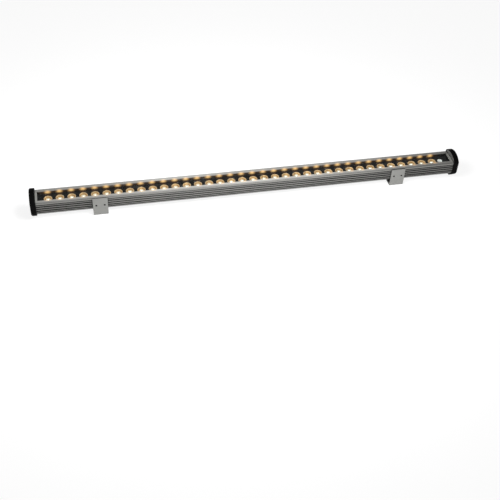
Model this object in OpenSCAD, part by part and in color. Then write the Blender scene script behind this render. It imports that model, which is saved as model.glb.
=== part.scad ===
// Linear grazer light: a finned aluminium bar with a row of LED optics under glass,
// two arched end caps and two L brackets that slide along a slot under the bar.
// Millimetres. X runs along the bar, the front is -Y, and Z = 0 is the mounting plane.

/* [Overall] */
// Length over both end caps
total_length = 1000; // [700:1:1600]
// Width of the extruded body
body_w = 50.5; // [48:0.5:58]
// Height of the extruded body
body_h = 44.2; // [43.6:0.2:52]

/* [Body section] */
// Width of each of the two lips beside the window
lip_w = 9.6; // [9:0.1:11]
// Thickness of the two lips
lip_t = 2.2; // [1.6:0.1:2.8]
// Height of the plain face at the top of each side
lip_face_h = 4.8; // [4:0.1:6]
// Height of the uppermost groove
first_groove_h = 1.8; // [1.2:0.1:2.4]
// Height of the uppermost fin
first_fin_h = 2.6; // [1.8:0.1:3.2]
// Height of the three main grooves
groove_h = 2.6; // [1.6:0.1:2.8]
// Height of the main fins
fin_h = 2.95; // [2:0.05:3.2]
// Height of the lowest fin
last_fin_h = 2; // [1.4:0.1:2.6]
// Height of the lowest groove
last_groove_h = 2; // [1.4:0.1:2.4]
// Depth of the grooves
groove_d = 3; // [2.2:0.1:3.4]
// Chamfer on the noses of the fins
fin_chamfer = 0.35; // [0.1:0.05:0.5]
// Chamfer on the outer corners of the lips
lip_chamfer = 0.5; // [0.2:0.1:1]
// Radius of the lower corners
corner_r = 10; // [7:0.5:12]
// Width of the flat underside
flat_w = 14.5; // [14:0.1:18]
// Slope of the tapered underside
taper_deg = 42; // [38:1:44]
// Wall along the tapered underside
taper_wall = 2.4; // [1.8:0.1:3]
// Wall round the screw channels
channel_wall = 1.2; // [1:0.1:1.6]
// Thickness of the shelf that carries the boards
shelf_t = 3; // [2:0.1:3.6]
// Depth of the LED chamber below the seal ledge
chamber_d = 10; // [8.2:0.1:10.6]
// Side wall of the driver chamber behind the grooves
side_wall = 2.25; // [1.6:0.05:3]

/* [Bracket slot] */
// Width of the slot's neck
slot_neck_w = 6.4; // [5.6:0.1:7]
// Height of the slot's neck
slot_neck_h = 2; // [1.6:0.1:2.4]
// Width of the slot behind its neck
slot_w = 11.4; // [10:0.1:12]
// Height of the slot behind its neck
slot_h = 4.4; // [4:0.1:5]
// Wall above the slot
slot_roof_t = 2; // [1.6:0.1:2.6]

/* [Window] */
// Thickness of the glass
glass_t = 3; // [2.4:0.1:3.4]
// Width of glass held under each lip
glass_lap = 2.85; // [2:0.05:3]
// Thickness of the seal below the glass
seal_t = 0.8; // [0.6:0.1:1.2]
// Width of the bright strip at each end of the window
strip_w = 4.7; // [3:0.1:7]
// Width of the strip's raised part
strip_land = 3.3; // [1.5:0.1:4]
// Step down from the strip's raised part
strip_step = 0.5; // [0.3:0.1:1]

/* [Ends] */
// Length of each end cap
cap_l = 12.1; // [11:0.1:16]
// Amount by which the caps stand out past the body
cap_over = 3.2; // [3.05:0.05:4]
// Height of the caps above the mounting plane
cap_lift = 1.8; // [1.6:0.1:2]
// Radius of the caps' outer edges
cap_edge_r = 3; // [1.5:0.1:3]
// Radius of the caps' inner edges
cap_inner_r = 1.2; // [0.4:0.1:1.5]
// Rise of the caps' arch
arch_rise = 10.6; // [6:0.1:14]
// Height of the arch's springing above the lips
arch_lift = 0.9; // [0.2:0.1:2]
// Thickness of the caps' end walls
cap_face_t = 3.2; // [2.6:0.1:4]
// Width of the seat behind the edge of each end plate
cap_rim_w = 2.2; // [1.6:0.1:3]
// Thickness of the end plates
plate_t = 1.9; // [1.5:0.1:2.5]
// Thickness of the end gaskets
gasket_t = 0.8; // [0.3:0.1:1]

/* [LED row] */
// Spacing of the LEDs
led_pitch = 25.8; // [22:0.1:36]
// First LED from the left end
row_start = 39.7; // [34:0.1:60]
// Space kept past the last LED at the right end
row_end = 50; // [48:0.5:60]
// Number of boards
board_count = 3; // [2:1:4]
// Thickness of the boards
board_t = 1.6; // [1:0.1:2]
// Diameter of the optics over the rim
optic_d = 18.6; // [15:0.1:20]
// Thickness of the rim of an optic
optic_rim_t = 1; // [0.8:0.1:1.2]
// Depth of an optic from its rim's top
optic_h = 4.7; // [4.4:0.1:4.7]
// Side of an LED
led_side = 3.45; // [2:0.05:3.6]
// Height of an LED
led_h = 0.7; // [0.4:0.1:0.9]
// Thickness of the lens tray
tray_t = 1.2; // [0.8:0.1:1.4]

/* [Driver and leads] */
// Length of the driver
driver_l = 280; // [150:1:300]
// Width of the driver
driver_w = 20; // [16:0.5:20.4]
// Thickness of the pads above and below the driver
pad_t = 1.6; // [1:0.1:3]
// Place of the lead cap from the right end
lead_inset = 37; // [34:0.5:40]
// Diameter of the lead cap
lead_cap_d = 12; // [11.6:0.1:14]
// Diameter of a lead
lead_d = 1.4; // [1:0.1:1.6]
// Diameter of the cable that the bushing takes
cable_d = 7; // [5:0.1:8]

/* [Brackets] */
// Place of each bracket from the end
bracket_inset = 151.6; // [60:0.1:200]
// Width of each bracket
bracket_w = 33.3; // [30:0.1:60]
// Thickness of the bracket plate
bracket_t = 2.4; // [2.2:0.1:3]
// Gap between the bracket plate and the body
bracket_gap = 0.7; // [0.4:0.1:1.5]
// Drop of the bracket's top edge below the lips
bracket_drop = 1.2; // [0.5:0.1:8]
// Reach of the flange past the middle of the bar
flange_reach = 8; // [7:0.5:16]
// Inner radius of the bend
bend_r = 1; // [0.5:0.1:2]
// Spacing of the two mounting holes
hole_spacing = 18.4; // [14:0.1:22]
// Diameter of the mounting holes
hole_d = 4.4; // [3:0.1:5]
// Drop of the mounting holes below the bracket's top edge
hole_drop = 18.1; // [8:0.1:30]
// Spacing of the clamp screws
clamp_spacing = 16; // [12:0.1:18]
// Length of the slot nut
nut_l = 28; // [26:0.5:30]

/* [Hidden] */
$fn = 48;

// Clearances and the overrun of the cuts
fit_gap = 0.1;
slide_gap = 0.1;
play = 0.2;
overrun = 1;

// Small fixed sizes
cap_low_r = 2.5;
mouth_wall = 1.2;
channel_r = 1.65;
boss_wall = 1.55;
lower_screw_up = 3.6;
lower_screw_in = 2.33;
channel_share = 0.7;
screw_r = 1.6;
screw_hole_r = 2.2;
screw_head_r = 3.5;
screw_head_h = 4;
screw_len = 22;
counterbore_r = 3.9;
counterbore_d = 5;
cap_boss_r = 5.2;
hex_r = 1.73;
hex_d = 2;
plate_cable_r = 6;
bushing_r = 7;
bushing_flange_r = 9;
bushing_flange_t = 1.2;
bushing_lip_r = 8.4;
bushing_lip_t = 1.6;
board_gap = 0.4;
screw_cell_share = 0.16;
board_screw_edge = 4.35;
board_screw_r = 1.4;
board_screw_head_r = 2.75;
board_screw_head_h = 1.9;
board_screw_in = 2.9;
tray_wall = 1.2;
tray_drop = 2.8;
tray_rim_gap = 0.2;
seal_hide = 0.25;
optic_hole_r = 2.95;
optic_foot_wall = 0.9;
optic_lip_w = 0.7;
optic_side_gap = 0.25;
bowl_steps = 8;
bowl_power_share = 1.7;
emitter_dome_r = 1.3;
emitter_dome_h = 0.3;
link_l = 10;
link_w = 6;
link_h = 2.2;
lead_hole_r = 3.6;
lead_cap_t = 1.1;
lead_cap_barrel_r = 5;
lead_cap_wall = 1;
lead_cap_depth = 2;
lead_cap_round = 0.5;
lead_gap = 3.2;
lead_bend_r = 3;
lead_turn_r = 1.2;
lead_lap = 4.5;
driver_end_gap = 30;
driver_chamfer = 1.5;
pad_l = 20;
pad_share = 0.36;
clamp_r = 2;
clamp_hole_r = 2.05;
clamp_head_r = 3.9;
clamp_head_h = 2;
clamp_recess = 0.1;
nut_h = 3.6;
nut_side_gap = 0.25;
spigot_gap = 0.2;
spigot_h = 1.8;
flange_corner_r = 3;
edge_steps = 5;

// Heights of the body
lift = bracket_t + slide_gap;
z_top = lift + body_h;
z_glass = z_top - lip_t;
z_ledge = z_glass - glass_t - seal_t;
z_shelf = z_ledge - chamber_d;
z_board = z_shelf + board_t;
z_deck = z_board + tray_drop + tray_t;
z_roof = z_shelf - shelf_t;
z_slot = lift + slot_neck_h;
z_floor = z_slot + slot_h + slot_roof_t;

// Half widths of the body
half_l = total_length / 2;
half_w = body_w / 2;
window_half = half_w - lip_w;
glass_half = window_half + glass_lap;
upper_screw_y = half_w - groove_d - channel_wall - channel_r;
chamber_half = upper_screw_y - channel_r - channel_wall;
body_end = half_l - cap_l;
gasket_end = body_end + gasket_t;
plate_end = gasket_end + plate_t;

// The tapered underside
flat_half = flat_w / 2;
corner_y = half_w - corner_r;
corner_c = [corner_y, lift + (corner_y - flat_half) * tan(taper_deg) + corner_r / cos(taper_deg)];
inner_flat_half = flat_half + (z_floor - lift) / tan(taper_deg) - taper_wall / sin(taper_deg);
inner_half = half_w - groove_d - side_wall;
lower_screw_y = inner_flat_half + lower_screw_up / tan(taper_deg)
    - lower_screw_in / sin(taper_deg);

// The arch
arch_r = (half_w * half_w + arch_rise * arch_rise) / (2 * arch_rise);
z_spring = z_top + arch_lift;
arch_c = z_spring + arch_rise - arch_r;
arch_deg = atan2(arch_r - arch_rise, half_w);

// Tops of the grooves below the lips, each with its height
second_top = lip_face_h + first_groove_h + first_fin_h;
third_top = second_top + groove_h + fin_h;
fourth_top = third_top + groove_h + fin_h;
fifth_top = fourth_top + groove_h + last_fin_h;
grooves = [
    [lip_face_h, first_groove_h],
    [second_top, groove_h],
    [third_top, groove_h],
    [fourth_top, groove_h],
    [fifth_top, last_groove_h]
];

// Places of the four screws at each end, as [y, z]
screw_places = [
    [-upper_screw_y, z_ledge - channel_share * chamber_d],
    [upper_screw_y, z_ledge - channel_share * chamber_d],
    [-lower_screw_y, z_floor + lower_screw_up],
    [lower_screw_y, z_floor + lower_screw_up]
];

// The LED row
row_x = -half_l + row_start;
led_total = floor((total_length - row_start - row_end) / led_pitch) + 1;
leds_each = floor(led_total / board_count);
led_count = leds_each * board_count;
cell_x = row_x - led_pitch / 2;
cell_l = leds_each * led_pitch;
board_half = chamber_half - play;
board_screw_y = board_half - board_screw_edge;
board_screw_cell = round(screw_cell_share * leds_each);
tray_half = chamber_half - play;
lead_x = half_l - lead_inset;

// Brackets and driver
bracket_x = half_l - bracket_inset;
bracket_y = -half_w - bracket_gap - bracket_t;
bracket_top = z_top - bracket_drop;
z_hole = bracket_top - hole_drop;
driver_x = lead_x - driver_end_gap - driver_l;
z_driver = (z_floor + z_roof) / 2;
driver_h = z_roof - z_floor - 2 * pad_t;

// Colours
aluminium = "#8f8f8c";
bright = "#a9a9a5";
black = "#1c1c1e";
plate_grey = "#b4b4ae";
amber = "#f0bf7c";

// Lowest edge of the plates and gaskets in the caps' mouths
mouth_low = cap_lift + cap_inner_r + mouth_wall;

// Points of an arc about a centre, from one angle to another
function arc(c, r, a, b, n) =
    [for (i = [0:n]) c + r * [cos(a + (b - a) * i / n), sin(a + (b - a) * i / n)]];

// Right half of a cap's outline, grown from the body by g, bottom to apex
function cap_half(g) =
    let (low = cap_lift + cap_over - g, tip = tan(taper_deg / 2) * cap_low_r,
        edge = flat_half + g / sin(taper_deg) + (low - lift) / tan(taper_deg))
    concat(
        arc([edge - tip, low + cap_low_r], cap_low_r, -90, taper_deg - 90, 3),
        arc(corner_c, corner_r + g, taper_deg - 90, 0, 8),
        arc([half_w, z_spring], g, 0, arch_deg, 3),
        arc([0, arch_c], arch_r + g, arch_deg, 90, 10));

// Whole outline of a cap, grown from the body by g
function cap_points(g) =
    let (right = cap_half(g), last = len(right) - 1)
    concat(right, [for (i = [last - 1:-1:0]) [-right[i][0], right[i][1]]]);

// Runs a shape drawn in Y and Z along X
module run(x, length) {
    translate([x, 0, 0]) rotate([90, 0, 90]) linear_extrude(length) children();
}

// Draws for the left end, or mirrored for the right end
module at_end(right) {
    mirror([right ? 1 : 0, 0, 0]) children();
}

// A round rod along X
module rod(x, place, r, length) {
    translate([x, place[0], place[1]]) rotate([0, 90, 0]) cylinder(h = length, r = r);
}

// The body's outline without grooves, grown by g and up to a given height
module outline(top, g = 0) {
    foot = flat_half + g / sin(taper_deg);
    turn = corner_c + (corner_r + g) * [sin(taper_deg), -cos(taper_deg)];
    side = half_w + g;
    polygon([
        [-foot, lift], [foot, lift],
        turn, [side, corner_c[1]],
        [side, top], [-side, top],
        [-side, corner_c[1]], [-turn[0], turn[1]]
    ]);
    for (i = [-1, 1])
        translate([i * corner_c[0], corner_c[1]]) circle(r = corner_r + g);
}

// The outline of the plates in the caps' mouths, grown by g
module mouth(g) {
    intersection() {
        union() {
            outline(z_spring, g);
            intersection() {
                translate([0, arch_c]) circle(r = arch_r + g);
                band(half_w + g, z_top, z_spring + arch_rise + overrun);
            }
        }
        band(half_w + overrun, mouth_low + fit_gap - g, z_spring + arch_rise + overrun);
    }
}

// One groove in the right side, with a round bottom and a flared mouth
module groove(top, h) {
    mid = z_top - top - h / 2;
    root = half_w - groove_d + h / 2;
    translate([root, mid]) circle(d = h);
    translate([root, mid - h / 2]) square([groove_d, h]);
    polygon([
        [half_w - fin_chamfer, mid - h / 2],
        [half_w + overrun, mid - h / 2 - fin_chamfer - overrun],
        [half_w + overrun, mid + h / 2 + fin_chamfer + overrun],
        [half_w - fin_chamfer, mid + h / 2]
    ]);
}

// The chamfer on the right lip's outer corner
module lip_corner() {
    polygon([
        [half_w - lip_chamfer, z_top],
        [half_w - lip_chamfer, z_top + overrun],
        [half_w + overrun, z_top + overrun],
        [half_w + overrun, z_top - lip_chamfer],
        [half_w, z_top - lip_chamfer]
    ]);
}

// A rectangle centred on the middle plane, from one height to another
module band(half, low, high) {
    translate([-half, low]) square([2 * half, high - low]);
}

// The driver chamber, with two bosses along its lower corners
module driver_space() {
    slant = inner_flat_half + (z_roof - z_floor) / tan(taper_deg);
    difference() {
        intersection() {
            band(inner_half, z_floor, z_roof);
            polygon([
                [-inner_flat_half, z_floor], [inner_flat_half, z_floor],
                [slant, z_roof], [-slant, z_roof]
            ]);
        }
        for (i = [2, 3])
            translate(screw_places[i]) circle(r = channel_r + boss_wall);
    }
}

// The full section of the extrusion
module section() {
    difference() {
        outline(z_top);
        for (side = [0, 1]) mirror([side, 0]) {
            for (g = grooves) groove(g[0], g[1]);
            lip_corner();
        }
        band(window_half, z_glass - overrun, z_top + overrun);
        band(glass_half + play, z_ledge, z_glass);
        band(chamber_half, z_shelf, z_ledge + seal_t / 2);
        driver_space();
        band(slot_neck_w / 2, lift - overrun, z_slot + slot_h / 2);
        band(slot_w / 2, z_slot, z_slot + slot_h);
        for (place = screw_places) translate(place) circle(r = channel_r);
    }
}

// Puts its children at the four screws of every board
module at_board_screws() {
    for (i = [0:board_count - 1], cell = [board_screw_cell, leds_each - board_screw_cell],
        side = [-1, 1])
        translate([cell_x + i * cell_l + cell * led_pitch, side * board_screw_y, 0])
            children();
}

// Puts its children at every LED of the boards from one to another
module at_leds(first, last) {
    for (i = [first * leds_each:(last + 1) * leds_each - 1])
        translate([row_x + i * led_pitch, 0, 0]) children();
}

module housing() {
    color(aluminium) difference() {
        run(-body_end, 2 * body_end) section();
        at_board_screws() translate([0, 0, z_roof - overrun])
            cylinder(h = shelf_t + 2 * overrun, r = board_screw_r + fit_gap / 2);
        translate([lead_x, 0, z_roof - overrun])
            cylinder(h = shelf_t + 2 * overrun, r = lead_hole_r);
    }
}

module cover_glass() {
    color("#9fb0b4", 0.35)
        run(-body_end + play, 2 * (body_end - play)) band(glass_half, z_glass - glass_t, z_glass);
}

module glass_seal() {
    color("#2a2a2a") difference() {
        run(-body_end + play, 2 * (body_end - play)) band(glass_half, z_ledge, z_ledge + seal_t);
        run(-body_end + strip_w - seal_hide, 2 * (body_end - strip_w + seal_hide))
            band(window_half + seal_hide, z_ledge - overrun, z_glass);
    }
}

// The bright strip that closes one end of the window, level with the lips
module end_strip() {
    color(bright) difference() {
        run(-body_end, strip_w) band(window_half - fit_gap, z_glass, z_top);
        run(-body_end + strip_land, strip_w)
            band(window_half, z_top - strip_step, z_top + overrun);
    }
}

// The arched plate in the mouth of one cap
module end_plate(cable) {
    color(bright) difference() {
        run(-plate_end, plate_t) mouth(0);
        for (place = screw_places)
            rod(-plate_end - overrun, place, screw_hole_r, plate_t + 2 * overrun);
        if (cable)
            rod(-plate_end - overrun, [0, z_driver], plate_cable_r, plate_t + 2 * overrun);
    }
}

module end_gasket(cable) {
    color("#202020") difference() {
        run(-gasket_end, gasket_t) intersection() {
            mouth(0);
            band(half_w, lift, z_top);
        }
        for (place = screw_places)
            rod(-gasket_end - overrun, place, screw_hole_r, gasket_t + 2 * overrun);
        if (cable)
            rod(-gasket_end - overrun, [0, z_driver], plate_cable_r, gasket_t + 2 * overrun);
    }
}

// Outlines of a cap from its outer face to its inner face, with both edges rounded
function cap_rings() =
    concat(
        [for (i = [0:edge_steps]) let (a = 90 * i / edge_steps)
            [cap_edge_r * (1 - cos(a)), cap_over - cap_edge_r * (1 - sin(a))]],
        [for (i = [edge_steps:-1:0]) let (a = 90 * i / edge_steps)
            [cap_l - cap_inner_r * (1 - cos(a)), cap_over - cap_inner_r * (1 - sin(a))]]);

// A cap's outer shape, lofted through its outlines
module cap_shape() {
    rings = cap_rings();
    count = len(cap_points(cap_over));
    last = len(rings) - 1;
    polyhedron(
        [for (ring = rings, p = cap_points(ring[1])) [ring[0] - half_l, p[0], p[1]]],
        concat(
            [[for (i = [0:count - 1]) i]],
            [for (k = [0:last - 1], i = [0:count - 1]) let (j = (i + 1) % count)
                each [[k * count + i, (k + 1) * count + i, (k + 1) * count + j],
                    [k * count + i, (k + 1) * count + j, k * count + j]]],
            [[for (i = [count - 1:-1:0]) last * count + i]]));
}

// The hollow behind a cap's end wall, with a boss left at each screw
module cap_pocket() {
    side = half_w - cap_rim_w;
    difference() {
        union() {
            polygon([
                [-flat_half, lift + cap_rim_w], [flat_half, lift + cap_rim_w],
                [side, corner_c[1]], [side, z_top - cap_rim_w],
                [-side, z_top - cap_rim_w], [-side, corner_c[1]]
            ]);
            intersection() {
                translate([0, arch_c]) circle(r = arch_r - cap_rim_w);
                band(side, z_top - 2 * cap_rim_w, z_spring + arch_rise);
            }
        }
        for (place = screw_places) translate(place) circle(r = cap_boss_r);
    }
}

module end_cap(cable) {
    color(black) difference() {
        cap_shape();
        run(-half_l + cap_face_t, cap_l) cap_pocket();
        run(-plate_end, cap_l) mouth(fit_gap);
        for (place = screw_places) {
            rod(-half_l - overrun, place, screw_hole_r, cap_l + 2 * overrun);
            rod(-half_l - overrun, place, counterbore_r, counterbore_d + overrun);
        }
        if (cable) {
            rod(-half_l - overrun, [0, z_driver], bushing_r, cap_face_t + 2 * overrun);
            rod(-half_l - overrun, [0, z_driver], bushing_flange_r, bushing_flange_t + overrun);
        }
    }
}

// The four socket screws that hold one cap, plate and gasket to the body
module end_screws() {
    seat = -half_l + counterbore_d;
    color("#8a8d90") for (place = screw_places) difference() {
        union() {
            rod(seat - screw_head_h, place, screw_head_r, screw_head_h);
            rod(seat, place, screw_r, screw_len);
        }
        translate([seat - screw_head_h - overrun, place[0], place[1]]) rotate([0, 90, 0])
            cylinder(h = hex_d + overrun, r = hex_r, $fn = 6);
    }
}

// The rubber bushing in the right cap's end wall, with a bore for the cable
module cable_bushing() {
    wall = cap_face_t - bushing_flange_t;
    color("#262626") translate([half_l, 0, z_driver]) rotate([0, -90, 0])
        rotate_extrude() polygon([
            [cable_d / 2, 0],
            [bushing_flange_r, 0],
            [bushing_flange_r, bushing_flange_t],
            [bushing_r, bushing_flange_t],
            [bushing_r, bushing_flange_t + wall],
            [bushing_lip_r, bushing_flange_t + wall],
            [bushing_r, bushing_flange_t + wall + bushing_lip_t],
            [cable_d / 2, bushing_flange_t + wall + bushing_lip_t]
        ]);
}

module led_board(i) {
    color("#dcdcd4") difference() {
        translate([cell_x + i * cell_l + board_gap / 2, -board_half, z_shelf])
            cube([cell_l - board_gap, 2 * board_half, board_t]);
        at_board_screws() translate([0, 0, z_shelf - overrun])
            cylinder(h = board_t + 2 * overrun, r = board_screw_r + fit_gap);
    }
}

// Plug-in links that join neighbouring boards
module board_links() {
    color("#e8e8e0") for (i = [1:board_count - 1])
        translate([cell_x + i * cell_l - link_l / 2, -link_w / 2, z_board])
            cube([link_l, link_w, link_h]);
}

module board_screws() {
    color("#9a9c9e") at_board_screws() {
        translate([0, 0, z_board]) cylinder(h = board_screw_head_h, r = board_screw_head_r);
        translate([0, 0, z_shelf - board_screw_in])
            cylinder(h = board_screw_in + board_t, r = board_screw_r);
    }
}

module led_emitters() {
    color("#ffe2a0") at_leds(0, board_count - 1) {
        translate([-led_side / 2, -led_side / 2, z_board]) cube([led_side, led_side, led_h]);
        translate([0, 0, z_board]) cylinder(h = led_h + emitter_dome_h, r = emitter_dome_r);
    }
}

// One optic: a curved bowl with a rim, open over its LED
module optic() {
    rim_r = optic_d / 2;
    mouth_r = rim_r - optic_lip_w;
    rim_z = z_deck + optic_rim_t;
    foot_z = rim_z - optic_h;
    bowl = [for (i = [0:bowl_steps]) let (t = i / bowl_steps)
        [optic_hole_r + (mouth_r - optic_hole_r) * t,
            foot_z + led_h + (optic_h - led_h) * pow(t, bowl_power_share)]];
    rotate_extrude() polygon(concat(
        [[optic_hole_r, foot_z]],
        bowl,
        [[rim_r, rim_z], [rim_r, z_deck],
            [mouth_r - optic_lip_w, z_deck],
            [optic_hole_r + optic_foot_wall, foot_z]]));
}

module led_optics() {
    color(amber) at_leds(0, board_count - 1) optic();
}

// One carrier: a deck with a socket for each optic between two side walls
module lens_tray(i) {
    from = i == 0 ? -body_end + play : cell_x + i * cell_l + board_gap / 2;
    to = i == board_count - 1 ? body_end - play : cell_x + (i + 1) * cell_l - board_gap / 2;
    rim = z_ledge - tray_rim_gap;
    color("#232325") difference() {
        union() {
            run(from, to - from) {
                band(tray_half, z_deck - tray_t, z_deck);
                for (side = [-1, 1])
                    translate([side * (tray_half - tray_wall / 2) - tray_wall / 2, z_board])
                        square([tray_wall, rim - z_board]);
            }
            if (i == 0) run(from, tray_wall) band(tray_half, z_board, rim);
            if (i == board_count - 1) run(to - tray_wall, tray_wall) band(tray_half, z_board, rim);
        }
        at_leds(i, i) translate([0, 0, z_board])
            cylinder(h = rim - z_board, r = optic_d / 2 - 2 * optic_lip_w + optic_side_gap);
        translate([lead_x, 0, z_board])
            cylinder(h = rim - z_board, r = lead_cap_barrel_r + play);
    }
}

// The white cap over the hole that the leads come up through
module lead_cap() {
    r = lead_cap_d / 2;
    color("#f2f2ee") translate([lead_x, 0, z_deck]) rotate_extrude() polygon([
        [0, lead_cap_t], [r - 2 * lead_cap_round, lead_cap_t],
        [r, lead_cap_t - lead_cap_round], [r, 0],
        [lead_cap_barrel_r, 0], [lead_cap_barrel_r, -lead_cap_depth],
        [lead_cap_barrel_r - lead_cap_wall, -lead_cap_depth],
        [lead_cap_barrel_r - lead_cap_wall, 0], [0, 0]
    ]);
}

// One lead from the driver, up through the shelf and back onto the right board
module lead(y) {
    r = lead_d / 2;
    start = driver_x + driver_l;
    z_end = z_board + r;
    x_end = cell_x + led_count * led_pitch - board_gap / 2 - lead_lap;
    rod(start, [y, z_driver], r, lead_x - lead_bend_r - start);
    translate([lead_x - lead_bend_r, y, z_driver + lead_bend_r]) rotate([90, 0, 0])
        rotate([0, 0, -90]) rotate_extrude(angle = 90)
            translate([lead_bend_r, 0]) circle(r = r);
    translate([lead_x, y, z_driver + lead_bend_r])
        cylinder(h = z_end - lead_turn_r - z_driver - lead_bend_r, r = r);
    translate([lead_x - lead_turn_r, y, z_end - lead_turn_r]) rotate([90, 0, 0])
        rotate_extrude(angle = 90) translate([lead_turn_r, 0]) circle(r = r);
    rod(x_end, [y, z_end], r, lead_x - lead_turn_r - x_end);
}

module driver_leads() {
    color("#30302f") {
        lead(-lead_gap / 2);
        lead(lead_gap / 2);
    }
}

module driver_module() {
    a = driver_w / 2;
    c = driver_chamfer;
    low = z_driver - driver_h / 2;
    high = z_driver + driver_h / 2;
    color("#d0d0cc") run(driver_x, driver_l) polygon([
        [-a + c, low], [a - c, low], [a, low + c], [a, high - c],
        [a - c, high], [-a + c, high], [-a, high - c], [-a, low + c]
    ]);
}

// Foam pads that hold the driver between floor and shelf
module driver_pads() {
    half = driver_w / 2 - driver_chamfer;
    color("#3a3a3a") for (side = [-1, 1]) {
        x = driver_x + driver_l / 2 + side * pad_share * driver_l - pad_l / 2;
        run(x, pad_l) band(half, z_floor, z_floor + pad_t);
        run(x, pad_l) band(half, z_roof - pad_t, z_roof);
    }
}

// Section of a bracket: a plate bent at its foot into a flange under the bar
module bracket_section() {
    reach = flange_reach - bracket_y;
    outer = bend_r + bracket_t;
    difference() {
        translate([bracket_y, 0]) square([reach, bracket_top]);
        translate([bracket_y + bracket_t, outer]) square([reach, bracket_top]);
        translate([bracket_y + outer, bracket_t]) square([reach, bracket_top]);
        translate([bracket_y + outer, outer]) circle(r = bend_r);
        difference() {
            translate([bracket_y - overrun, -overrun])
                square([outer + overrun, outer + overrun]);
            translate([bracket_y + outer, outer]) circle(r = outer);
            translate([bracket_y + outer, 0]) square([overrun, outer]);
        }
    }
}

// Rounds one rear corner of a bracket's flange
module flange_corner() {
    r = flange_corner_r;
    translate([bracket_w / 2 - r, flange_reach - r, -overrun]) difference() {
        cube([r + overrun, r + overrun, bracket_t + 2 * overrun]);
        cylinder(h = bracket_t + 2 * overrun, r = r);
    }
}

// One bracket, drawn about its own middle
module bracket() {
    color(plate_grey) difference() {
        run(-bracket_w / 2, bracket_w) bracket_section();
        for (side = [0, 1]) mirror([side, 0, 0]) {
            flange_corner();
            translate([hole_spacing / 2, bracket_y - overrun, z_hole]) rotate([-90, 0, 0])
                cylinder(h = bracket_t + 2 * overrun, d = hole_d);
            translate([clamp_spacing / 2, 0, -overrun])
                cylinder(h = bracket_t + 2 * overrun, r = clamp_hole_r);
            translate([clamp_spacing / 2, 0, clamp_recess])
                cylinder(h = clamp_head_h, r1 = clamp_head_r, r2 = clamp_hole_r);
            translate([clamp_spacing / 2, 0, -overrun])
                cylinder(h = overrun + clamp_recess, r = clamp_head_r);
        }
    }
}

// The T-shaped nut in the slot above one bracket
module slot_nut() {
    foot = z_slot + slide_gap;
    color("#77797c") difference() {
        run(-nut_l / 2, nut_l) {
            band(slot_w / 2 - nut_side_gap, foot, foot + nut_h);
            band(slot_neck_w / 2 - spigot_gap, foot - spigot_h, foot + nut_h / 2);
        }
        for (side = [-1, 1]) translate([side * clamp_spacing / 2, 0, foot - spigot_h - overrun])
            cylinder(h = nut_h + spigot_h + 2 * overrun, r = clamp_hole_r);
    }
}

// The two countersunk screws that clamp one bracket to its nut
module clamp_screws() {
    color("#9a9c9e") for (side = [-1, 1])
        translate([side * clamp_spacing / 2, 0, clamp_recess]) difference() {
            union() {
                cylinder(h = clamp_head_h, r1 = clamp_head_r, r2 = clamp_r);
                cylinder(h = z_slot + slide_gap + nut_h - clamp_recess, r = clamp_r);
            }
            translate([0, 0, -overrun]) cylinder(h = overrun + clamp_head_h / 2, r = hex_r, $fn = 6);
        }
}

module end_strip_left() at_end(false) end_strip();
module end_strip_right() at_end(true) end_strip();
module end_plate_left() at_end(false) end_plate(false);
module end_plate_right() at_end(true) end_plate(true);
module end_gasket_left() at_end(false) end_gasket(false);
module end_gasket_right() at_end(true) end_gasket(true);
module end_cap_left() at_end(false) end_cap(false);
module end_cap_right() at_end(true) end_cap(true);
module end_screws_left() at_end(false) end_screws();
module end_screws_right() at_end(true) end_screws();
module led_board_left() led_board(0);
module led_board_middle() for (i = [1:1:board_count - 2]) led_board(i);
module led_board_right() led_board(board_count - 1);
module lens_tray_left() lens_tray(0);
module lens_tray_middle() for (i = [1:1:board_count - 2]) lens_tray(i);
module lens_tray_right() lens_tray(board_count - 1);
module bracket_left() translate([-bracket_x, 0, 0]) bracket();
module bracket_right() translate([bracket_x, 0, 0]) bracket();
module slot_nut_left() translate([-bracket_x, 0, 0]) slot_nut();
module slot_nut_right() translate([bracket_x, 0, 0]) slot_nut();
module clamp_screws_left() translate([-bracket_x, 0, 0]) clamp_screws();
module clamp_screws_right() translate([bracket_x, 0, 0]) clamp_screws();

housing();
cover_glass();
glass_seal();
end_strip_left();
end_strip_right();
end_plate_left();
end_plate_right();
end_gasket_left();
end_gasket_right();
end_cap_left();
end_cap_right();
end_screws_left();
end_screws_right();
cable_bushing();
led_board_left();
led_board_middle();
led_board_right();
board_links();
board_screws();
led_emitters();
led_optics();
lens_tray_left();
lens_tray_middle();
lens_tray_right();
lead_cap();
driver_leads();
driver_module();
driver_pads();
bracket_left();
bracket_right();
slot_nut_left();
slot_nut_right();
clamp_screws_left();
clamp_screws_right();
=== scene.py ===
"""Looks of the linear grazer light: finishes, fine pieces, studio and camera."""

import logging
import math
from dataclasses import dataclass
from enum import Enum

import bmesh
import bpy
from mathutils import Matrix, Vector


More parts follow.
